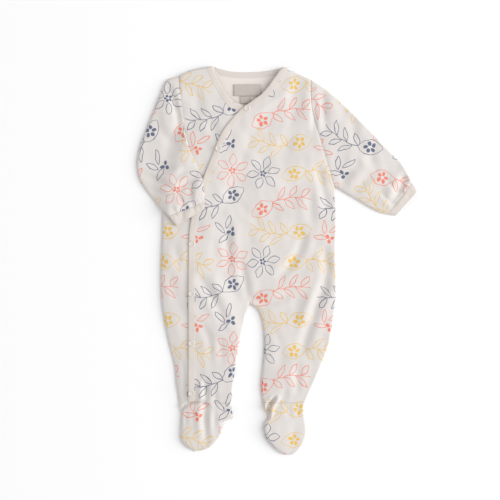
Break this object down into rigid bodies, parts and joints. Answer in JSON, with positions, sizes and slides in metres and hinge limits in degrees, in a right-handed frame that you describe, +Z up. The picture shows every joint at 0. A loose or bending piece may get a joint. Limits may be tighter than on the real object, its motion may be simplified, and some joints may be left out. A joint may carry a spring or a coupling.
{
  "type": "footed baby sleepsuit",
  "caption": "Wrap-front footed baby sleepsuit laid flat, one arm stretched out and the other bent over the front, with bound edges and press studs down one side.",
  "frame": {"origin": "on the surface that the garment lies on, under the middle of its bounding box", "axes": "+Z up off the surface through the cloth, +Y from the feet to the neck, +X towards the stretched-out sleeve"},
  "size_m": [0.392, 0.544, 0.0176],
  "materials": {
    "print_cloth": "cream cotton velour with a line print in coral, mustard and slate blue, short soft nap",
    "plain_cloth": "plain warm cream cotton jersey binding",
    "label_cloth": "plain taupe woven tape, satin",
    "popper": "cream enamelled press stud, slight gloss"
  },
  "bodies": {
    "root": {"back": "print_cloth", "over_front": "print_cloth", "under_front": "print_cloth", "left_sleeve": "print_cloth", "right_sleeve": "print_cloth", "left_cuff": "plain_cloth", "right_cuff": "plain_cloth", "left_foot": "print_cloth", "left_heel": "print_cloth", "left_sole": "print_cloth", "right_foot": "print_cloth", "right_sole": "print_cloth", "wrap_binding": "plain_cloth", "under_binding": "plain_cloth", "neck_binding": "plain_cloth", "label": "label_cloth", "size_tab": "label_cloth", "popper_1": "popper", "popper_2": "popper", "popper_3": "popper", "popper_4": "popper", "popper_5": "popper", "popper_6": "popper", "popper_7": "popper"}
  },
  "joints": []
}
